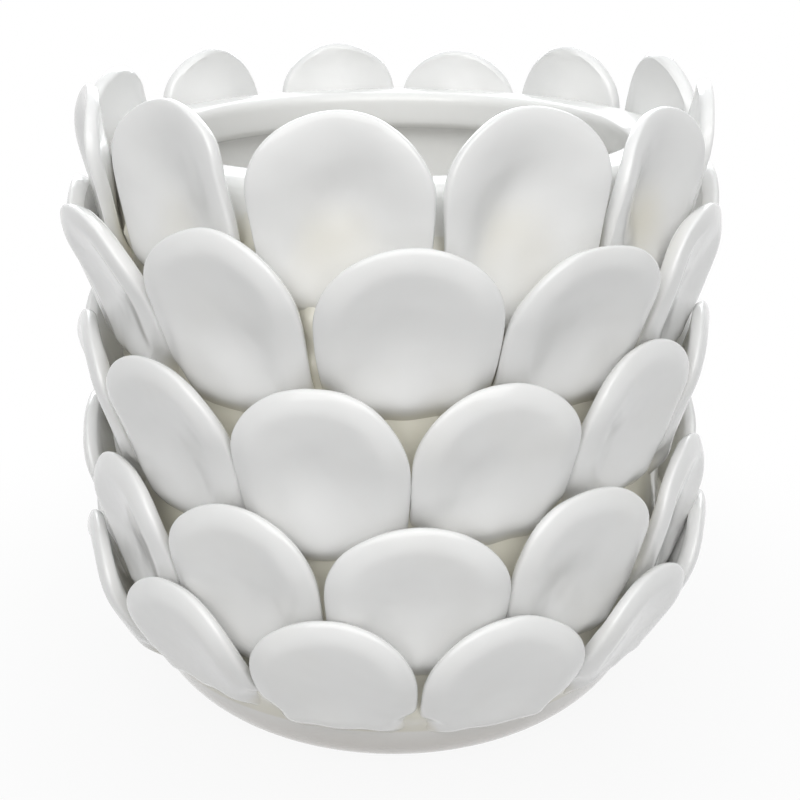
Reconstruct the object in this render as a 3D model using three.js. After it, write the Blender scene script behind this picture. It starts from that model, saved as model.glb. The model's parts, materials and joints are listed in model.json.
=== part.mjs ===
import * as THREE from 'three';

// Scalloped ceramic vase: one round glazed body with five staggered rows of hand-pressed clay petals.
// Millimetres. The foot rests on z = 0, the axis of the vase is the z axis, the front looks along -y.

// Body of the vase
const footRadius = 69;
const bellyRadius = 108;
const bellyHeight = 51;
const bottomRoundness = 2.2;
const rimRadius = 104.2;
const rimHeight = 223;
const rimBandWidth = 17;
const rimBandDepth = 16;
const rimRound = 4.5;
const wallThickness = 8.5;
const floorThickness = 9;
const bodySides = 60;

// Every petal
const petalThickness = 4.6;
const petalSeatGap = 0.45;
const petalSideGap = 0.5;
const widestToTip = 27;
const seatedPart = 0.16;
const tipAboveRim = 19.4;
const lowestTip = 78.3;
const petalSides = 20;
const outlineWobble = 0.012;
const rootSquareness = 3.2;

// Rows from the rim down. place runs from the top row, at 0, to the bottom row, at 1. length runs from
// root to tip. fill is the share of the room between its neighbours that a petal takes.
// stand is the distance of the middle of the clay from the wall, at the widest place and at the tip.
// dish is how far the side edges curl out. thumb is the depth of the thumb press in the face.
// turns are the places round the vase in degrees from the front, to the right.
// lifts (mm), fills (share), tips (mm further out) and lengths (mm more) are what the hand gave the
// petals that can be seen.
const rows = [
  {
    name: 'row1',
    place: 0,
    length: 60,
    fill: 0.97,
    stand: [5, 4.4],
    dish: 4,
    thumb: 1.8,
    turns: [-73, -38, -8, 21.5, 50.5, 81, 108, 137, 165, 193, 225, 256],
    lifts: [0, 3, 3, 3, -2, 0, 1, -1, -4, -1, -1, -1],
    fills: [0.87, 0.92, 1, 1, 0.98, 1, 0.94, 0.97, 0.99, 0.97, 0.87, 0.87],
    tips: [0, 2, 0, 0, -1, 3],
    lengths: [0, 0, 0, 2],
  },
  {
    name: 'row2',
    place: 0.22,
    length: 55,
    fill: 0.97,
    stand: [8.4, 17],
    dish: 2.6,
    thumb: 1,
    turns: [-86, -57, -28, 2.5, 32, 64, 95, 125, 155, 185, 214, 244],
    lifts: [-1, 1, 2, 1, -2, -1, 1, 0, -2, 1, 0, 1],
    fills: [1, 1, 1, 1, 0.99, 0.94],
    tips: [-2, 5, -1, 0, 2, 0],
    lengths: [0, 0, 3],
  },
  {
    name: 'row3',
    place: 0.487,
    length: 54,
    fill: 0.98,
    stand: [8.4, 14.2],
    dish: 2.4,
    thumb: 0.9,
    turns: [-72, -41, -12, 17, 46, 75, 105, 134, 165, 195, 226, 257],
    lifts: [-2, 0, -1, 0, 3, -1, 0, 1, -1, 0, 2, 0],
    fills: [0.96, 1, 1, 0.97, 1, 1],
    tips: [-1, 3, 0, 0, -1, -1],
    lengths: [0, 2, 4],
  },
  {
    name: 'row4',
    place: 0.768,
    length: 54,
    fill: 0.94,
    stand: [8.2, 13.2],
    dish: 2.2,
    thumb: 0.8,
    turns: [-84, -55, -26, 4, 34, 66, 101, 136, 171, 206, 241],
    lifts: [2, -1, 0, -1, 2, -2, 0, 1, 0, -1, 1],
    fills: [1, 1, 1, 1, 0.98, 0.91, 0.91],
    tips: [1, -1, 0, 1, 0, 0],
    lengths: [0, 0, 2, 0, 1],
  },
  {
    name: 'row5',
    place: 1,
    length: 53,
    fill: 0.96,
    stand: [9.4, 16],
    dish: 2,
    thumb: 0.7,
    turns: [-72, -39, -10, 19, 48, 78, 108, 138, 168, 198, 228, 258],
    lifts: [-3, 1, 2, 0, 0, 0, 1, -1, 0, 1, 0, -1],
    fills: [0.96, 0.99, 0.99, 1, 0.99, 0.96],
    tips: [-2, -1, 0, -1, 2, 2],
    lengths: [0, -4, 0, 0, -4],
  },
];

// Outside radius of the plain wall at a height: round lower part, belly, then slowly in to the rim
function wallRadius(z) {
  if (z < bellyHeight) {
    const down = Math.min(1, (bellyHeight - z) / bellyHeight);
    return footRadius + (bellyRadius - footRadius) * (1 - down ** bottomRoundness) ** (1 / bottomRoundness);
  }
  const up = Math.min(1, (z - bellyHeight) / (rimHeight - rimBandDepth - bellyHeight));
  return bellyRadius - (bellyRadius - rimRadius) * up * up * (3 - 2 * up);
}

// Point of the wall and its outward direction at a height, in the plane of radius and height
function wallPlace(z) {
  const step = 0.5;
  const slope = (wallRadius(z + step) - wallRadius(Math.max(0, z - step))) / (z + step - Math.max(0, z - step));
  const length = Math.hypot(1, slope);
  return { r: wallRadius(z), z, nr: 1 / length, nz: -slope / length };
}

function buildBody() {
  const outline = [new THREE.Vector2(0, 0), new THREE.Vector2(footRadius, 0)];
  const lowSteps = 8;
  for (let i = 1; i <= lowSteps; i++) {
    const z = bellyHeight * (i / lowSteps) ** 1.9;
    outline.push(new THREE.Vector2(wallRadius(z), z));
  }
  const highSteps = 10;
  const bandFoot = rimHeight - rimBandDepth;
  for (let i = 1; i <= highSteps; i++) {
    const z = bellyHeight + (bandFoot - bellyHeight) * i / highSteps;
    outline.push(new THREE.Vector2(wallRadius(z), z));
  }
  // Rounded rim band, thicker than the wall and standing in over the mouth
  const cornerSteps = 3;
  const innerRadius = rimRadius - rimBandWidth;
  for (let i = 0; i <= cornerSteps; i++) {
    const a = Math.PI / 2 * i / cornerSteps;
    const r = rimRadius - rimRound + rimRound * Math.cos(a);
    outline.push(new THREE.Vector2(r, rimHeight - rimRound + rimRound * Math.sin(a)));
  }
  for (let i = 0; i <= cornerSteps; i++) {
    const a = Math.PI / 2 * i / cornerSteps;
    const r = innerRadius + rimRound - rimRound * Math.sin(a);
    outline.push(new THREE.Vector2(r, rimHeight - rimRound + rimRound * Math.cos(a)));
  }
  for (let i = 0; i <= cornerSteps; i++) {
    const a = Math.PI / 2 * i / cornerSteps;
    const r = innerRadius + rimRound - rimRound * Math.cos(a);
    outline.push(new THREE.Vector2(r, bandFoot + rimRound - rimRound * Math.sin(a)));
  }
  // Inside wall and floor follow the outside at the thickness of the wall
  const insideSteps = 6;
  for (let i = 0; i < insideSteps; i++) {
    const z = bandFoot - 4 - (bandFoot - 4 - bellyHeight) * i / insideSteps;
    outline.push(new THREE.Vector2(wallRadius(z) - wallThickness, z));
  }
  const bowlSteps = 4;
  for (let i = 0; i <= bowlSteps; i++) {
    const a = Math.PI / 2 * i / bowlSteps;
    const r = footRadius + (bellyRadius - footRadius - wallThickness) * Math.cos(a) ** (2 / bottomRoundness);
    const z = bellyHeight - (bellyHeight - floorThickness) * Math.sin(a) ** (2 / bottomRoundness);
    outline.push(new THREE.Vector2(r, z));
  }
  outline.push(new THREE.Vector2(0, floorThickness));
  const geometry = new THREE.LatheGeometry(outline, bodySides);
  geometry.rotateX(Math.PI / 2);
  return geometry;
}

// Curve of the clay away from the wall: pressed on it at the root, then out through the widest place to the tip
function standAt(v, widest, root, middle, tip) {
  const a = (v - widest) * (v - 1) / ((seatedPart - widest) * (seatedPart - 1));
  const b = (v - seatedPart) * (v - 1) / ((widest - seatedPart) * (widest - 1));
  const c = (v - seatedPart) * (v - widest) / ((1 - seatedPart) * (1 - widest));
  return Math.max(root, root * a + middle * b + tip * c);
}

function pick(list, index, plain) {
  return index < list.length ? list[index] : plain;
}

// Room for half a petal between its two neighbours, at the radius of its widest place
function sideRoom(row, index, radius) {
  const count = row.turns.length;
  const before = row.turns[(index + count - 1) % count] - (index === 0 ? 360 : 0);
  const after = row.turns[(index + 1) % count] + (index === count - 1 ? 360 : 0);
  const turn = row.turns[index];
  const nearest = Math.min(turn - before, after - turn);
  return radius * Math.tan(THREE.MathUtils.degToRad(nearest / 2)) - petalSideGap;
}

function buildPetal(row, index) {
  const turn = THREE.MathUtils.degToRad(row.turns[index]);
  const topTip = rimHeight + tipAboveRim;
  const tipZ = topTip - (topTip - lowestTip) * row.place + pick(row.lifts, index, 0);
  const rootStand = petalThickness / 2 + petalSeatGap;
  const tipStand = row.stand[1] + pick(row.tips, index, 0);
  const length = row.length + pick(row.lengths, index, 0);
  const widest = 1 - widestToTip / length;
  const edgeRadius = wallRadius(tipZ - widestToTip) + row.stand[0] + row.dish;
  const room = sideRoom(row, index, edgeRadius - petalThickness / 2) / (1 + outlineWobble);
  const halfWidth = room * pick(row.fills, index, row.fill);
  const phase = 1.7 * index + 0.9 * rows.indexOf(row);

  // Below its widest place the clay narrows with the room that the round wall leaves it
  function narrowing(v) {
    const wall = wallPlace(tipZ - length * (1 - v));
    const stand = standAt(v, widest, rootStand, row.stand[0], tipStand);
    const radius = wall.r + stand - petalThickness / 2;
    return Math.min(1, sideRoom(row, index, radius) / (1 + outlineWobble) / room);
  }

  // Place of a point of the clay: u across, v from root to tip, h through the thickness
  function place(u, v, h) {
    const wall = wallPlace(tipZ - length * (1 - v));
    const across = u / halfWidth;
    const free = THREE.MathUtils.smoothstep(v, 0.05, 0.6);
    const hug = -wall.nr / (2 * wall.r) * u * u;
    const curl = row.dish * across * across;
    const press = row.thumb * Math.exp(-3.2 * across * across - ((v - 0.5) / 0.2) ** 2);
    const stand = standAt(v, widest, rootStand, row.stand[0], tipStand);
    const out = stand + hug * (1 - free) + curl * free + h - (h > 0 ? press : 0);
    const r = wall.r + wall.nr * out;
    const z = wall.z + wall.nz * out;
    return [
      r * Math.sin(turn) + u * Math.cos(turn),
      -r * Math.cos(turn) + u * Math.sin(turn),
      z,
    ];
  }

  function ringPoint(share, angle, h) {
    const wobble = 1 + outlineWobble * Math.sin(2 * angle + phase) * share;
    const up = Math.sin(angle);
    const across = Math.cos(angle);
    // The tip is a half circle, the root a half circle with squared shoulders
    const power = up > 0 ? 1 : 2 / rootSquareness;
    const reach = up > 0 ? 1 - widest : widest;
    const v = widest + share * wobble * reach * Math.sign(up) * Math.abs(up) ** power;
    const spread = up > 0 ? 1 : narrowing(v);
    const u = share * wobble * halfWidth * spread * Math.sign(across) * Math.abs(across) ** power;
    return place(u, v, h);
  }

  const half = petalThickness / 2;
  const rings = [
    [0.5, half],
    [0.91, half],
    [1, half * 0.45],
    [1, -half * 0.45],
    [0.91, -half],
  ];
  const points = [...ringPoint(0, 0, half)];
  for (const [share, h] of rings) {
    for (let i = 0; i < petalSides; i++) {
      points.push(...ringPoint(share, 2 * Math.PI * i / petalSides, h));
    }
  }
  points.push(...ringPoint(0, 0, -half));

  const faces = [];
  const last = 1 + rings.length * petalSides;
  for (let i = 0; i < petalSides; i++) {
    const next = (i + 1) % petalSides;
    faces.push(0, 1 + i, 1 + next);
    for (let k = 0; k < rings.length - 1; k++) {
      const near = 1 + k * petalSides;
      const far = near + petalSides;
      faces.push(near + i, far + i, far + next);
      faces.push(near + i, far + next, near + next);
    }
    const low = last - petalSides;
    faces.push(low + i, last, low + next);
  }
  const geometry = new THREE.BufferGeometry();
  geometry.setAttribute('position', new THREE.Float32BufferAttribute(points, 3));
  geometry.setIndex(faces);
  geometry.computeVertexNormals();
  return geometry;
}

// White glossy glaze over the whole vase
function glaze(colour) {
  return new THREE.MeshStandardMaterial({ color: colour, roughness: 0.16, metalness: 0 });
}

const vase = new THREE.Group();
vase.name = 'scalloped_ceramic_vase';

function add(geometry, name, colour) {
  const mesh = new THREE.Mesh(geometry, glaze(colour));
  mesh.name = name;
  vase.add(mesh);
}

add(buildBody(), 'vase_body', 0xefeeea);
for (const row of rows) {
  row.turns.forEach((turn, index) => {
    const number = String(index + 1).padStart(2, '0');
    add(buildPetal(row, index), `${row.name}_petal_${number}`, 0xf3f2ef);
  });
}

export default vase;
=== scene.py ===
import json
import math
import random

import bpy
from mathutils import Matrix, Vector

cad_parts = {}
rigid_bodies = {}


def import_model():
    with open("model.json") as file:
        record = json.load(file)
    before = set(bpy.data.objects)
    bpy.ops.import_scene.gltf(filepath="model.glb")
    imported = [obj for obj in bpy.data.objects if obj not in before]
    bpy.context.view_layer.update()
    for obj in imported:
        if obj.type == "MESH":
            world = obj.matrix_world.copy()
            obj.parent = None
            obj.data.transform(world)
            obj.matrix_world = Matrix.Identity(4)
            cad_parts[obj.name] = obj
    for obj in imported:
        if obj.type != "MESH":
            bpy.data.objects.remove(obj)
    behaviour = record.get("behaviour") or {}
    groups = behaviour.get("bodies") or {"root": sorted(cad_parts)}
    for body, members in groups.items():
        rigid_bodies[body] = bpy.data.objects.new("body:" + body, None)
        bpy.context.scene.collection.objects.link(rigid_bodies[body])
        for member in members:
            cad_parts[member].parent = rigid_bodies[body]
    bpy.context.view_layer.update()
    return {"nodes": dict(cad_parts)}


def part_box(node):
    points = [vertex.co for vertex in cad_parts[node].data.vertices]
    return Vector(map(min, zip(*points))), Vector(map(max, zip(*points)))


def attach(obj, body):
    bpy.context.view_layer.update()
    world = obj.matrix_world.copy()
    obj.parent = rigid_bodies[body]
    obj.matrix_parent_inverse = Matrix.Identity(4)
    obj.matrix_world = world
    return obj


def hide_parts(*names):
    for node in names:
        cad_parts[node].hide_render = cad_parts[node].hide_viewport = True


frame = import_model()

MM = 0.001

# Body of the vase, the same sizes as the thrown form underneath the petals
FOOT_RADIUS = 69 * MM
BELLY_RADIUS = 108 * MM
BELLY_HEIGHT = 51 * MM
BOTTOM_ROUNDNESS = 2.2
RIM_RADIUS = 104.2 * MM
RIM_HEIGHT = 223 * MM
BAND_WIDTH = 17 * MM
BAND_DEPTH = 16 * MM
BAND_ROUND = 4.2 * MM
WALL = 8.5 * MM
FLOOR_THICKNESS = 9 * MM
# Rows of petals from the rim down, and how many petals each has
ROWS = (("row1", 12), ("row2", 12), ("row3", 12), ("row4", 11), ("row5", 12))
# Points closer together than this are one point
MERGE = 0.02 * MM


# Working in edit mode as by hand

def select_only(piece):
    if bpy.context.mode != "OBJECT":
        bpy.ops.object.mode_set(mode="OBJECT")
    bpy.ops.object.select_all(action="DESELECT")
    piece.select_set(True)
    bpy.context.view_layer.objects.active = piece


def pick(piece, kind, test):
    """Selects only the faces or points that pass the test, and leaves edit mode on."""
    bpy.ops.mesh.select_all(action="DESELECT")
    bpy.ops.mesh.select_mode(type={"vertices": "VERT", "polygons": "FACE"}[kind])
    bpy.ops.object.mode_set(mode="OBJECT")
    for element in getattr(piece.data, kind):
        element.select = test(element)
    bpy.ops.object.mode_set(mode="EDIT")


def pick_nearest(piece, distance):
    """Selects the one point with the smallest distance, and leaves edit mode on."""
    bpy.ops.mesh.select_all(action="DESELECT")
    bpy.ops.mesh.select_mode(type="VERT")
    bpy.ops.object.mode_set(mode="OBJECT")
    min(piece.data.vertices, key=distance).select = True
    bpy.ops.object.mode_set(mode="EDIT")


def draw(move, reach, shape):
    """Moves what is selected, and draws the clay round it along as far as the reach, in mm."""
    bpy.ops.transform.translate(value=move, use_proportional_edit=True,
                                proportional_edit_falloff=shape, proportional_size=reach * MM,
                                use_proportional_connected=True)


def apply_modifier(piece, kind, **settings):
    modifier = piece.modifiers.new(kind.lower(), kind)
    for key, value in settings.items():
        setattr(modifier, key, value)
    bpy.ops.object.modifier_apply(modifier=modifier.name)


def smoother(piece, levels):
    bpy.ops.object.mode_set(mode="OBJECT")
    apply_modifier(piece, "SUBSURF", levels=levels, render_levels=levels)
    bpy.ops.object.mode_set(mode="EDIT")


# Colours and shader nodes

def srgb(text):
    channels = [int(text[i:i + 2], 16) / 255 for i in (1, 3, 5)]
    linear = [c / 12.92 if c <= 0.04045 else ((c + 0.055) / 1.055) ** 2.4 for c in channels]
    return (*linear, 1.0)


def add_node(material, kind, settings=None, links=None):
    tree = material.node_tree
    node = tree.nodes.new(kind)
    for key, value in (settings or {}).items():
        if isinstance(key, int) or key in node.inputs:
            node.inputs[key].default_value = value
        else:
            setattr(node, key, value)
    for key, (source, output) in (links or {}).items():
        tree.links.new(source.outputs[output], node.inputs[key])
    return node


# Glaze: opaque white tin glaze over pale earthenware, dipped and fired glossy

# The silky white of the glaze, and the clear glassy skin over it
GLAZE_IOR = 1.5
GLAZE_ROUGHNESS = 0.38
SKIN_WEIGHT = 0.85
SKIN_ROUGHNESS = 0.06
SKIN_IOR = 1.5
# Cloudy thickness of the glaze: width of the patches, and how much of the tint they shift
CLOUD_SIZE = 25 * MM
CLOUD_SHIFT = 0.3
# The tint of pooling glaze and painted shade fades out between these heights, so the top stays untinted
TINT_FULL_BELOW = 200 * MM
TINT_NONE_ABOVE = 222 * MM
# Painted shade darkens the glaze towards the foot, between these heights
FOOT_SHADE_BELOW = 38 * MM
FOOT_SHADE_FULL_BELOW = 4 * MM
# Colour of the painted shade at the foot
FOOT_SHADE_COLOUR = "#C2BAB0"
# Soft waves of the fired glaze, then its fine grain: length, depth and strength
WAVE_LENGTH = 11 * MM
WAVE_DEPTH = 0.6 * MM
WAVE_STRENGTH = 0.3
GRAIN_LENGTH = 1.4 * MM
GRAIN_DEPTH = 0.1 * MM
GRAIN_STRENGTH = 0.05


def tin_glaze(name, colour, pool_and_shade_colour, untinted_radius, tinted_radius):
    """Glossy tin glaze. The eye gets a deep white with a sharp gleam on every rolled edge. It is
    warmer and darker next to the wall, from the untinted to the tinted radius: a tint of pooling glaze
    and painted shade of the hollows."""
    material = bpy.data.materials.new(name)
    material.use_nodes = True
    tree = material.node_tree
    shader = tree.nodes["Principled BSDF"]
    shader.inputs["IOR"].default_value = GLAZE_IOR
    shader.inputs["Roughness"].default_value = GLAZE_ROUGHNESS
    shader.inputs["Coat Weight"].default_value = SKIN_WEIGHT
    shader.inputs["Coat Roughness"].default_value = SKIN_ROUGHNESS
    shader.inputs["Coat IOR"].default_value = SKIN_IOR
    place = add_node(material, "ShaderNodeTexCoord")
    # Distance from the axis of the vase tells the crests of the petals from the hollows by the wall,
    # which get the tint of pooling glaze and painted shade
    flat = add_node(material, "ShaderNodeVectorMath", {"operation": "MULTIPLY", 1: (1, 1, 0)},
                    {0: (place, "Object")})
    radius = add_node(material, "ShaderNodeVectorMath", {"operation": "LENGTH"}, {0: (flat, 0)})
    deep = add_node(material, "ShaderNodeMapRange",
                    {"interpolation_type": "SMOOTHSTEP", "From Min": untinted_radius,
                     "From Max": tinted_radius}, {"Value": (radius, "Value")})
    clouds = add_node(material, "ShaderNodeTexNoise", {"Scale": 1 / CLOUD_SIZE, "Detail": 2.0},
                      {"Vector": (place, "Object")})
    shift = add_node(material, "ShaderNodeMath",
                     {"operation": "MULTIPLY_ADD", 1: CLOUD_SHIFT, 2: -CLOUD_SHIFT / 2},
                     {0: (clouds, "Fac")})
    uneven = add_node(material, "ShaderNodeMath", {"operation": "ADD", "use_clamp": True},
                      {0: (deep, "Result"), 1: (shift, 0)})
    height = add_node(material, "ShaderNodeSeparateXYZ", None, {0: (place, "Object")})
    low = add_node(material, "ShaderNodeMapRange",
                   {"interpolation_type": "SMOOTHSTEP", "From Min": TINT_NONE_ABOVE,
                    "From Max": TINT_FULL_BELOW}, {"Value": (height, "Z")})
    # Painted shade and pooling glaze: the tint near the wall, faded out towards the top
    pool_and_shade_mask = add_node(material, "ShaderNodeMath", {"operation": "MULTIPLY"},
                      {0: (uneven, 0), 1: (low, "Result")})
    tint = add_node(material, "ShaderNodeMix",
                    {"data_type": "RGBA", 6: srgb(colour), 7: srgb(pool_and_shade_colour)}, {0: (pool_and_shade_mask, 0)})
    # Painted shade: the glaze turns darker and warmer towards the foot
    foot = add_node(material, "ShaderNodeMapRange",
                    {"interpolation_type": "SMOOTHSTEP", "From Min": FOOT_SHADE_BELOW,
                     "From Max": FOOT_SHADE_FULL_BELOW}, {"Value": (height, "Z")})
    shaded_at_foot = add_node(material, "ShaderNodeMix", {"data_type": "RGBA", 7: srgb(FOOT_SHADE_COLOUR)},
                    {0: (foot, "Result"), 6: (tint, 2)})
    tree.links.new(shaded_at_foot.outputs[2], shader.inputs["Base Color"])
    waves = add_node(material, "ShaderNodeTexNoise", {"Scale": 1 / WAVE_LENGTH, "Detail": 1.0},
                     {"Vector": (place, "Object")})
    grain = add_node(material, "ShaderNodeTexNoise", {"Scale": 1 / GRAIN_LENGTH, "Detail": 1.0},
                     {"Vector": (place, "Object")})
    wavy = add_node(material, "ShaderNodeBump", {"Strength": WAVE_STRENGTH, "Distance": WAVE_DEPTH},
                    {"Height": (waves, "Fac")})
    fine = add_node(material, "ShaderNodeBump", {"Strength": GRAIN_STRENGTH, "Distance": GRAIN_DEPTH},
                    {"Height": (grain, "Fac"), "Normal": (wavy, "Normal")})
    tree.links.new(fine.outputs["Normal"], shader.inputs["Normal"])
    tree.links.new(fine.outputs["Normal"], shader.inputs["Coat Normal"])
    return material


# Petals turn warmer and darker near the wall, with pooling glaze and painted shade of the recesses
petal_glaze = tin_glaze("petal_tin_glaze", "#F5F5F4", "#E2DED0", 111 * MM, 105 * MM)
# The outside of the wall gets the tint of pooling glaze and painted shade all over, the rim band and the
# inside hardly at all
body_glaze = tin_glaze("body_tin_glaze", "#F4F4F2", "#E9E6D8", 104 * MM, 104.5 * MM)


def finish_piece(piece, glaze, node_name):
    select_only(piece)
    bpy.ops.object.shade_smooth()
    piece.data.materials.clear()
    piece.data.materials.append(glaze)
    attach(piece, "root")
    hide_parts(node_name)


# Petals: balls of clay pressed flat in the hand and luted to the wall

# A place on a petal is given in mm across its face, positive to the right as seen from outside,
# and in mm down from its tip.
# Presses of thumb and finger seen on the front petals, as (across, down, out, reach) in mm,
# and up to two more numbers, sideways and up, where the outline was drawn along
SEEN_PRESSES = {
    "row1_petal_02": [(-2, 24, -1.3, 14), (12, 32, 1.5, 22), (-2, 49, 2.0, 14), (25, 22, 0, 18, -3.0),
                      (-26, 22, 0, 16, 2.4)],
    "row1_petal_03": [(3, 24, -2.2, 13), (-6, 30, -2.2, 14), (-13, 38, -1.0, 11), (6, 46, 0.5, 12),
                      (26, 26, 0, 18, 1.0)],
    "row1_petal_04": [(-2, 23, -2.2, 13), (-9, 32, -2.3, 13), (-14, 42, -1.0, 10), (8, 36, 0.6, 14),
                      (-5, 56, 0.8, 15, 0, -8)],
    "row1_petal_05": [(-2, 24, -2.4, 15), (-3, 34, -2.2, 15), (-24, 36, 0, 16, -2.2)],
    "row1_petal_07": [(24, 20, 0, 20, 2.2), (-24, 20, 0, 20, -2.2), (0, 2, 0, 30, 0, 2.6)],
    "row1_petal_08": [(0, 2, 0, 28, 0, 2.0)],
    "row1_petal_09": [(0, 2, 0, 20, 0, 0.8)],
    "row1_petal_10": [(0, 2, 0, 20, 0, 0.8)],
    "row1_petal_11": [(0, 2, 0, 20, 0, 1.2)],
    "row2_petal_03": [(6, 34, -0.8, 12), (2, 48, 1.2, 9), (0, 0, 0, 18, 0, 1.0)],
    "row2_petal_04": [(-4, 28, -0.8, 14), (-8, 38, -0.6, 9), (-4, 50, 0.7, 12), (12, 50, -1.2, 10)],
    "row2_petal_05": [(-4, 28, -0.8, 14), (0, 0, 0, 18, 0, -2.2)],
    "row2_petal_06": [(0, 2, 0, 30, -5.0), (22, 34, 3.0, 26), (-20, 12, -2.4, 20)],
    "row3_petal_03": [(-2, 30, -1.3, 14), (-4, 51, 2.2, 13), (7, 58, -1.6, 6), (25, 30, 0, 18, 1.6)],
    "row3_petal_04": [(-4, 34, -1.1, 13), (0, 53, 1.8, 12)],
    "row4_petal_04": [(25, 26, 0, 18, 0.9)],
    "row4_petal_06": [(22, 34, 4.0, 28), (-20, 12, -2.0, 20)],
    "row5_petal_04": [(25, 24, 0, 18, 0.9)],
}
# How a row was pressed: spread across and up, then in mm the thickness of the clay, how far the tip
# leans out and rises, how far the lip is rolled back and over what width, how far the root is drawn
# down the wall, how deep the palm and then the thumb pressed the face, and how far the root was
# pressed in to the wall
LOWER_ROWS = {"wide": 1.085, "tall": 1.03, "clay": 6.2, "lean": 1.8, "lip": 3.8, "roll": 9.5,
              "bowl": 1.2, "thumb": 0.3, "dive": 6.0}
PRESSED = {
    "row1": {"wide": 1.05, "tall": 1.0, "clay": 5.0, "lean": 1.6, "rise": 1.6, "lip": 0.8, "roll": 8,
             "root": 10.5, "bowl": 2.8, "thumb": 1.4, "dive": 6.0},
    "row2": LOWER_ROWS | {"rise": 1.5, "root": 8.0, "bowl": 1.3, "thumb": 0.6},
    "row3": LOWER_ROWS | {"rise": 1.4, "root": 10.0},
    "row4": LOWER_ROWS | {"wide": 1.07, "rise": 2.0, "root": 12.0},
    "row5": LOWER_ROWS | {"wide": 1.06, "tall": 1.02, "rise": 3.7, "root": 1.6, "dive": 7.6},
}
# More edges than this meet only at the middle of a CAD petal's fan of triangles
FAN_EDGES = 12
# Rows of faces across the grid that takes the fan's place
GRID_ROWS = 5
# Radius of a petal's outline in mm, and how many uneven places it has
PETAL_RADIUS = 27
OUTLINE_MARKS = 4
# Soft marks left by the fingers on the face, and how often they were wiped over
FINGER_MARKS = 5
WIPES = 8
# Parts of the border: of the tip, from the tip down, and of the lip and the root, from the root up
TIP_BORDER = 10 * MM
LIP_BORDER = 12 * MM
ROOT_BORDER = 9 * MM
# How wide a stretch of clay went along, in mm, where the tip leant out, the root was drawn down
# and the root was pressed in
LEAN_REACH = 34
ROOT_REACH = 26
DIVE_REACH = 11
# Shares of the roll of the lip: its curl at the very edge, and its straight slope, which is
# narrower by this many mm
LIP_CURL = 0.55
LIP_SLOPE = 0.5
SLOPE_NARROWER = 1.5
# Round of the edges of the lip, and strokes of the wet sponge over it
EDGE_ROUND = 1.5 * MM
SPONGE_STROKES = 5
# Strokes that evened the back, which lay flat on the palm
BACK_STROKES = 60
# Unevenness left by the palm and by the fingers: width of the swells and depth
PALM_SWELL = 16 * MM
PALM_DEPTH = 0.3 * MM
FINGER_SWELL = 6 * MM
FINGER_DEPTH = 0.12 * MM
# Where slip was smeared under the lowest row, in mm across a petal
SMEARS = (-18, -9, 0, 9, 18)


class Seat:
    """Where a petal sits: its middle, the way it faces, and its right as seen from outside."""

    def __init__(self, node_name):
        points = [v.co for v in frame["nodes"][node_name].data.vertices]
        self.middle = sum(points, Vector()) / len(points)
        self.out = Vector((self.middle.x, self.middle.y, 0)).normalized()
        self.side = Vector((-self.out.y, self.out.x, 0))
        low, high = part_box(node_name)
        self.root, self.tip = low.z, high.z

    def across(self, point):
        return (point - self.middle).dot(self.side)


def push(piece, seat, across, down, out, reach, sideways=0, up=0):
    """Moves the clay round a place of the face outwards, or inwards where out is negative. All in mm."""
    def distance(v):
        return math.hypot(seat.across(v.co) - across * MM, v.co.z - (seat.tip - down * MM))
    pick_nearest(piece, distance)
    draw((seat.out * out + seat.side * sideways + Vector((0, 0, up))) * MM, reach, "SMOOTH")


def pick_border(piece, test):
    """Selects the points along the open edge of the sheet that pass the test."""
    bpy.ops.mesh.select_mode(type="VERT")
    bpy.ops.mesh.select_all(action="DESELECT")
    bpy.ops.mesh.select_non_manifold()
    bpy.ops.object.mode_set(mode="OBJECT")
    border = {v.index for v in piece.data.vertices if v.select and test(v)}
    bpy.ops.object.mode_set(mode="EDIT")
    pick(piece, "vertices", lambda v: v.index in border)


def open_fan(piece, seat):
    """Replaces the fan of triangles at the middle of the face with an even grid, left selected."""
    bpy.ops.object.mode_set(mode="OBJECT")
    edges_at = {}
    for edge in piece.data.edges:
        for index in edge.vertices:
            edges_at[index] = edges_at.get(index, 0) + 1
    fans = [v.index for v in piece.data.vertices if edges_at[v.index] > FAN_EDGES]
    front = [i for i in fans if piece.data.vertices[i].normal.dot(seat.out) > 0]
    bpy.ops.object.mode_set(mode="EDIT")
    pick(piece, "vertices", lambda v: v.index in front)
    bpy.ops.mesh.delete(type="VERT")
    bpy.ops.mesh.select_all(action="DESELECT")
    bpy.ops.mesh.select_non_manifold()
    bpy.ops.mesh.fill_grid(span=GRID_ROWS)


def spread_face(node_name, seat, row):
    """A copy of the petal with only its face left, evenly divided and spread as it was pressed."""
    node = frame["nodes"][node_name]
    piece = node.copy()
    piece.data = node.data.copy()
    piece.name = piece.data.name = "pressed_" + node_name
    piece.parent = None
    bpy.context.scene.collection.objects.link(piece)
    select_only(piece)
    bpy.ops.object.mode_set(mode="EDIT")
    bpy.ops.mesh.select_all(action="SELECT")
    bpy.ops.mesh.remove_doubles(threshold=MERGE)
    bpy.ops.mesh.tris_convert_to_quads()
    open_fan(piece, seat)
    bpy.ops.mesh.select_more()
    bpy.ops.mesh.select_all(action="INVERT")
    bpy.ops.mesh.delete(type="FACE")
    smoother(piece, 2)
    bpy.ops.mesh.select_all(action="SELECT")
    bpy.ops.transform.resize(value=(row["wide"], row["wide"], row["tall"]), center_override=seat.middle)
    return piece


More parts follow.
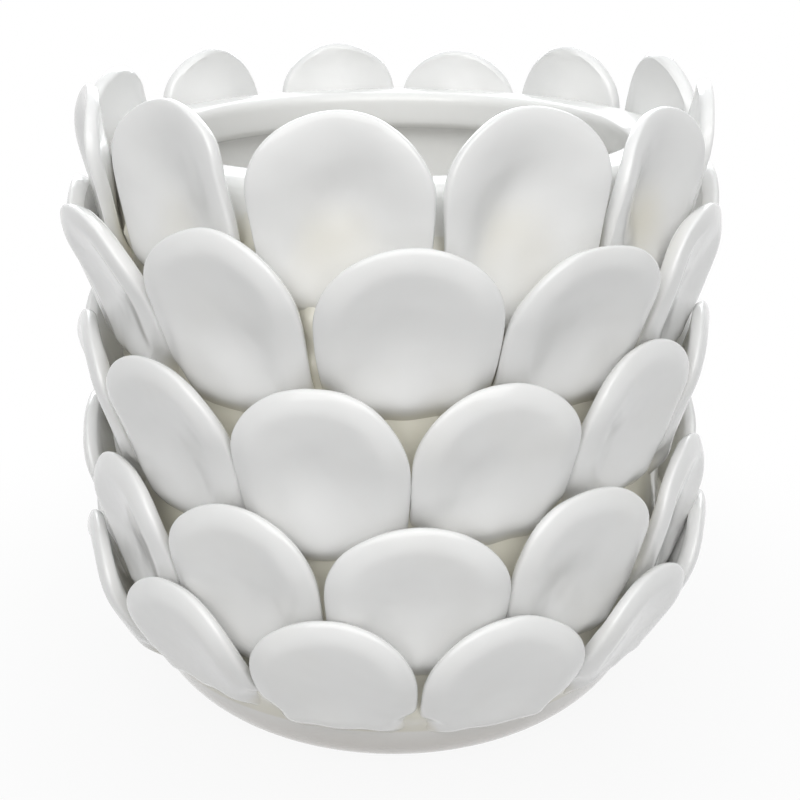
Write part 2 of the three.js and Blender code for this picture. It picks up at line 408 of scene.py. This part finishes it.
def press_face(piece, seat, row, seen, hand):
    # Squared shoulders of the root
    for way in (-1, 1):
        push(piece, seat, across=18 * way, down=48, out=0, reach=13, sideways=3.2 * way, up=-2.2)
    # Bowl of the palm, then the thumb, then the lower lip that turns out again
    push(piece, seat, across=0, down=26, out=-row["bowl"], reach=29)
    push(piece, seat, across=hand.uniform(-4, 4), down=35, out=-row["thumb"], reach=20)
    push(piece, seat, across=hand.uniform(-7, 7), down=46, out=hand.uniform(0.5, 1.0), reach=14)
    for press in seen:
        push(piece, seat, *press)
    for k in range(FINGER_MARKS):
        push(piece, seat, across=hand.uniform(-17, 17), down=hand.uniform(10, 46),
             out=hand.uniform(-0.25, 0.25), reach=hand.uniform(9, 14))
    # The outline was never a true circle
    for k in range(OUTLINE_MARKS):
        turn = math.radians(hand.uniform(0, 180))
        swell = hand.uniform(-0.3, 0.6)
        push(piece, seat, across=PETAL_RADIUS * math.cos(turn),
             down=PETAL_RADIUS - PETAL_RADIUS * math.sin(turn), out=hand.uniform(-0.6, 0.4), reach=18,
             sideways=swell * math.cos(turn), up=swell * math.sin(turn))
    # Marks of the fingers wiped soft
    bpy.ops.mesh.select_mode(type="VERT")
    bpy.ops.mesh.select_all(action="DESELECT")
    bpy.ops.mesh.select_non_manifold()
    bpy.ops.mesh.select_all(action="INVERT")
    bpy.ops.mesh.vertices_smooth(factor=0.5, repeat=WIPES)


def turn_lip_and_root(piece, seat, row):
    # The tip leans out and rises, and the lip is eased back all round
    pick_border(piece, lambda v: v.co.z > seat.tip - TIP_BORDER)
    draw((seat.out * row["lean"] + Vector((0, 0, row["rise"]))) * MM, LEAN_REACH, "SMOOTH")
    pick_border(piece, lambda v: v.co.z > seat.root + LIP_BORDER)
    draw(-seat.out * row["lip"] * LIP_CURL * MM, row["roll"], "SHARP")
    draw(-seat.out * row["lip"] * LIP_SLOPE * MM, row["roll"] - SLOPE_NARROWER, "LINEAR")
    # The root is thumbed down and in to the wall
    pick_border(piece, lambda v: v.co.z < seat.root + ROOT_BORDER)
    draw(-Vector((0, 0, row["root"])) * MM, ROOT_REACH, "SMOOTH")
    draw(-seat.out * row["dive"] * MM, DIVE_REACH, "SMOOTH")


def smear_slip(piece, seat, hand):
    """Slip smeared down below a petal of the lowest row, in an uneven line."""
    for across in SMEARS:
        push(piece, seat, across=across, down=62, out=0, reach=9, up=hand.uniform(-2.6, 0.8))


def unevenness(name, size):
    """Soft unevenness left by the hand, with swells about as wide as the size."""
    texture = bpy.data.textures.new(name, "CLOUDS")
    texture.noise_scale = size
    texture.noise_depth = 0
    return texture


palm = unevenness("palm", PALM_SWELL)
fingers = unevenness("fingers", FINGER_SWELL)


def give_back(piece, seat, row):
    """Gives the sheet its thickness of clay, a rounded edge and an even back."""
    bpy.ops.object.mode_set(mode="OBJECT")
    piece.vertex_groups.new(name="lip")
    apply_modifier(piece, "SOLIDIFY", thickness=row["clay"] * MM, offset=-1.0, rim_vertex_group="lip")
    bpy.ops.object.mode_set(mode="EDIT")
    bpy.ops.mesh.select_all(action="DESELECT")
    bpy.ops.mesh.select_mode(type="FACE")
    bpy.ops.object.vertex_group_select()
    bpy.ops.mesh.region_to_loop()
    bpy.ops.mesh.bevel(offset=EDGE_ROUND, segments=2, affect="EDGES")
    bpy.ops.mesh.select_all(action="DESELECT")
    bpy.ops.mesh.select_mode(type="VERT")
    bpy.ops.object.vertex_group_select()
    bpy.ops.mesh.select_more()
    bpy.ops.mesh.vertices_smooth(factor=0.5, repeat=SPONGE_STROKES)
    pick(piece, "polygons", lambda f: f.normal.dot(seat.out) < -0.5)
    bpy.ops.mesh.select_less()
    bpy.ops.mesh.select_less()
    bpy.ops.mesh.vertices_smooth(factor=0.5, repeat=BACK_STROKES)
    smoother(piece, 1)
    bpy.ops.object.mode_set(mode="OBJECT")
    apply_modifier(piece, "DISPLACE", texture=palm, texture_coords="LOCAL", strength=PALM_DEPTH)
    apply_modifier(piece, "DISPLACE", texture=fingers, texture_coords="LOCAL", strength=FINGER_DEPTH)
    piece.vertex_groups.clear()


def shape_petal(node_name, number):
    hand = random.Random(number)
    row_name = node_name.split("_")[0]
    row = PRESSED[row_name]
    seat = Seat(node_name)
    piece = spread_face(node_name, seat, row)
    press_face(piece, seat, row, SEEN_PRESSES.get(node_name, []), hand)
    turn_lip_and_root(piece, seat, row)
    if row_name == "row5":
        smear_slip(piece, seat, hand)
    give_back(piece, seat, row)
    finish_piece(piece, petal_glaze, node_name)


petals = [f"{row}_petal_{k:02d}" for row, count in ROWS for k in range(1, count + 1)]
for number, node_name in enumerate(petals, start=1):
    shape_petal(node_name, number)


# Body: turned from one outline

# Rings that keep the foot flat, as shares of its radius
FOOT_RINGS = (0.5, 0.93)
# Points along each stretch of the outline. Those of the low stretch crowd towards the foot.
LOW_STEPS = 12
LOW_CROWDING = 1.9
WALL_STEPS = 16
CORNER_STEPS = 4
INSIDE_STEPS = 14
BOWL_STEPS = 12
# Gap between the band and the first point of the wall inside
UNDER_BAND = 4 * MM
STEPS_ROUND = 96
# Slip squeezed out between the roots of neighbouring petals, in mm: its height above the roots,
# how far it stands out of the wall, and how wide it spreads
SLIP_HEIGHT = 15
SLIP_OUT = 5
SLIP_REACH = 11
# Thicker slip seen between two petals of the second row: degrees round from the front, heights in
# mm, and the same two sizes
THICK_SLIP_TURN = math.radians(-13.2)
THICK_SLIP_HEIGHTS = (175, 182)
THICK_SLIP_OUT = 6
THICK_SLIP_REACH = 8


def wall_radius(z):
    if z < BELLY_HEIGHT:
        down = min(1, (BELLY_HEIGHT - z) / BELLY_HEIGHT)
        curve = (1 - down ** BOTTOM_ROUNDNESS) ** (1 / BOTTOM_ROUNDNESS)
        return FOOT_RADIUS + (BELLY_RADIUS - FOOT_RADIUS) * curve
    up = min(1, (z - BELLY_HEIGHT) / (RIM_HEIGHT - BAND_DEPTH - BELLY_HEIGHT))
    return BELLY_RADIUS - (BELLY_RADIUS - RIM_RADIUS) * up * up * (3 - 2 * up)


def body_outline():
    """The outline of the body as (radius, height), from the middle of the foot to the middle inside."""
    line = [(0.0, 0.0)]
    for share in FOOT_RINGS:
        line.append((FOOT_RADIUS * share, 0.0))
    line.append((FOOT_RADIUS, 0.0))
    for i in range(1, LOW_STEPS + 1):
        z = BELLY_HEIGHT * (i / LOW_STEPS) ** LOW_CROWDING
        line.append((wall_radius(z), z))
    band_foot = RIM_HEIGHT - BAND_DEPTH
    for i in range(1, WALL_STEPS + 1):
        z = BELLY_HEIGHT + (band_foot - BELLY_HEIGHT) * i / WALL_STEPS
        line.append((wall_radius(z), z))
    # Three rounded corners of the band, and where each begins in degrees
    inner = RIM_RADIUS - BAND_WIDTH
    corners = [
        (RIM_RADIUS - BAND_ROUND, RIM_HEIGHT - BAND_ROUND, 0),
        (inner + BAND_ROUND, RIM_HEIGHT - BAND_ROUND, 90),
        (inner + BAND_ROUND, band_foot + BAND_ROUND, 180),
    ]
    for r, z, start in corners:
        for k in range(CORNER_STEPS + 1):
            a = math.radians(start + 90 / CORNER_STEPS * k)
            line.append((r + BAND_ROUND * math.cos(a), z + BAND_ROUND * math.sin(a)))
    wall_top = band_foot - UNDER_BAND
    for i in range(INSIDE_STEPS):
        z = wall_top - (wall_top - BELLY_HEIGHT) * i / INSIDE_STEPS
        line.append((wall_radius(z) - WALL, z))
    power = 2 / BOTTOM_ROUNDNESS
    for i in range(BOWL_STEPS + 1):
        a = math.pi / 2 * i / BOWL_STEPS
        r = FOOT_RADIUS + (BELLY_RADIUS - FOOT_RADIUS - WALL) * abs(math.cos(a)) ** power
        line.append((r, BELLY_HEIGHT - (BELLY_HEIGHT - FLOOR_THICKNESS) * math.sin(a) ** power))
    line.append((FOOT_RADIUS * FOOT_RINGS[0], FLOOR_THICKNESS))
    line.append((0.0, FLOOR_THICKNESS))
    return line


def pull_slip(piece, out, z, far, reach):
    """Pulls slip out of the wall, far and reach in mm."""
    place = out * wall_radius(z) + Vector((0, 0, z))
    pick_nearest(piece, lambda v: (v.co - place).length)
    draw(out * far * MM, reach, "SMOOTH")


def squeeze_slip(piece):
    for row, count in ROWS:
        for k in range(1, count + 1):
            left, right = (Seat(f"{row}_petal_{n:02d}") for n in (k, k % count + 1))
            z = (left.root + right.root) / 2 + SLIP_HEIGHT * MM
            pull_slip(piece, (left.out + right.out).normalized(), z, SLIP_OUT, SLIP_REACH)
    out = Vector((math.sin(THICK_SLIP_TURN), -math.cos(THICK_SLIP_TURN), 0))
    for height in THICK_SLIP_HEIGHTS:
        pull_slip(piece, out, height * MM, THICK_SLIP_OUT, THICK_SLIP_REACH)


def shape_body():
    line = body_outline()
    # A plane merged to one point is the start of the outline
    bpy.ops.object.select_all(action="DESELECT")
    bpy.ops.mesh.primitive_plane_add(size=2 * MM, location=(0, 0, 0))
    piece = bpy.context.object
    piece.name = piece.data.name = "thrown_body"
    bpy.ops.object.mode_set(mode="EDIT")
    bpy.ops.mesh.select_mode(type="VERT")
    bpy.ops.mesh.select_all(action="SELECT")
    bpy.ops.mesh.merge(type="CENTER")
    here = Vector((0, 0, 0))
    for r, z in line[1:]:
        there = Vector((r, 0, z))
        bpy.ops.mesh.extrude_vertices_move(TRANSFORM_OT_translate={"value": there - here})
        here = there
    bpy.ops.mesh.select_all(action="SELECT")
    bpy.ops.mesh.spin(steps=STEPS_ROUND, angle=math.radians(360), center=(0, 0, 0),
                      axis=(0, 0, 1))
    bpy.ops.mesh.select_all(action="SELECT")
    bpy.ops.mesh.remove_doubles(threshold=MERGE)
    bpy.ops.mesh.normals_make_consistent(inside=False)
    smoother(piece, 1)
    squeeze_slip(piece)
    bpy.ops.object.mode_set(mode="OBJECT")
    finish_piece(piece, body_glaze, "vase_body")


shape_body()


# Floor, lights and camera, in metres

FLOOR_SIZE = 40
FLOOR_BELOW = 0.0005
PAPER = "#BCBCBC"
# The paper and its shadow show inside the first radius and run out into plain white by the second
SHADOW_RADIUS = 0.1
WHITE_RADIUS = 0.3
NEAR_WHITE = 0.92
# Light of the room on the vase, far below the white that the camera and the gloss see round it
ROOM_COLOUR = (0.97, 0.985, 1.0, 1)
ROOM_STRENGTH = 0.22
WHITE = (1, 1, 1, 1)
# Middle of the vase, where the softboxes point
AIM = Vector((0, 0, 0.15))
# The camera looks down by this many degrees. Its sensor and lens are in mm, its shift is a share of
# the picture's width.
CAMERA_PLACE = (0.0006, -0.4746, 0.3023)
CAMERA_DOWN = 22.13
SENSOR_WIDTH = 36
LENS = 56.52
SHIFT_RIGHT = 0.006
SHIFT_UP = 0.0095
CLIP_START = 0.01


def plain_floor():
    bpy.ops.mesh.primitive_plane_add(size=FLOOR_SIZE, location=(0, 0, -FLOOR_BELOW))
    floor = bpy.context.object
    floor.name = "floor"
    material = bpy.data.materials.new("white_paper")
    material.use_nodes = True
    material.node_tree.nodes.clear()
    paper = add_node(material, "ShaderNodeBsdfDiffuse", {"Color": srgb(PAPER)})
    glow = add_node(material, "ShaderNodeEmission", {"Color": WHITE, "Strength": 1.0})
    path = add_node(material, "ShaderNodeLightPath")
    place = add_node(material, "ShaderNodeTexCoord")
    away = add_node(material, "ShaderNodeVectorMath", {"operation": "LENGTH"}, {0: (place, "Object")})
    white = add_node(material, "ShaderNodeMapRange",
                     {"interpolation_type": "SMOOTHSTEP", "From Min": SHADOW_RADIUS,
                      "From Max": WHITE_RADIUS, "To Min": NEAR_WHITE, "To Max": 1.0},
                     {"Value": (away, "Value")})
    ray = add_node(material, "ShaderNodeMath", {"operation": "MAXIMUM"},
                   {0: (path, "Is Camera Ray"), 1: (path, "Is Glossy Ray")})
    seen = add_node(material, "ShaderNodeMath", {"operation": "MULTIPLY"},
                    {0: (ray, 0), 1: (white, "Result")})
    mix = add_node(material, "ShaderNodeMixShader", None, {0: (seen, 0), 1: (paper, 0), 2: (glow, 0)})
    add_node(material, "ShaderNodeOutputMaterial", None, {"Surface": (mix, 0)})
    floor.data.materials.append(material)


def studio_world():
    world = bpy.data.worlds.new("white_studio")
    bpy.context.scene.world = world
    world.use_nodes = True
    world.node_tree.nodes.clear()
    room = add_node(world, "ShaderNodeBackground", {"Color": ROOM_COLOUR, "Strength": ROOM_STRENGTH})
    white = add_node(world, "ShaderNodeBackground", {"Color": WHITE, "Strength": 1.0})
    path = add_node(world, "ShaderNodeLightPath")
    seen = add_node(world, "ShaderNodeMath", {"operation": "MAXIMUM"},
                    {0: (path, "Is Camera Ray"), 1: (path, "Is Glossy Ray")})
    mix = add_node(world, "ShaderNodeMixShader", None, {0: (seen, 0), 1: (room, 0), 2: (white, 0)})
    add_node(world, "ShaderNodeOutputWorld", None, {"Surface": (mix, 0)})


def softbox(name, place, width, height, watts, colour=(1, 1, 1)):
    data = bpy.data.lights.new(name, "AREA")
    data.shape = "RECTANGLE"
    data.size = width
    data.size_y = height
    data.energy = watts
    data.color = colour
    lamp = bpy.data.objects.new(name, data)
    lamp.location = place
    lamp.rotation_euler = (AIM - Vector(place)).to_track_quat("-Z", "Y").to_euler()
    bpy.context.scene.collection.objects.link(lamp)


def set_camera():
    data = bpy.data.cameras.new("camera")
    data.sensor_width = SENSOR_WIDTH
    data.lens = LENS
    data.shift_x = SHIFT_RIGHT
    data.shift_y = SHIFT_UP
    data.clip_start = CLIP_START
    camera = bpy.data.objects.new("camera", data)
    camera.location = CAMERA_PLACE
    camera.rotation_euler = (math.radians(90 - CAMERA_DOWN), 0, 0)
    bpy.context.scene.collection.objects.link(camera)
    bpy.context.scene.camera = camera


plain_floor()
studio_world()
softbox("high_front_softbox", place=(0, -0.96, 1.75), width=2.6, height=1.6, watts=10.5)
softbox("front_softbox", place=(0, -1.6, 1.2), width=2.6, height=1.2, watts=19,
        colour=(1, 0.995, 0.985))
softbox("overhead_softbox", place=(0, 0.16, 2), width=2.5, height=1.9, watts=7,
        colour=(0.92, 0.97, 1))
softbox("high_back_softbox", place=(0, 1.6, 1.1), width=1.8, height=1.2, watts=20,
        colour=(0.95, 0.98, 1))
set_camera()
bpy.context.scene.view_settings.view_transform = "Standard"
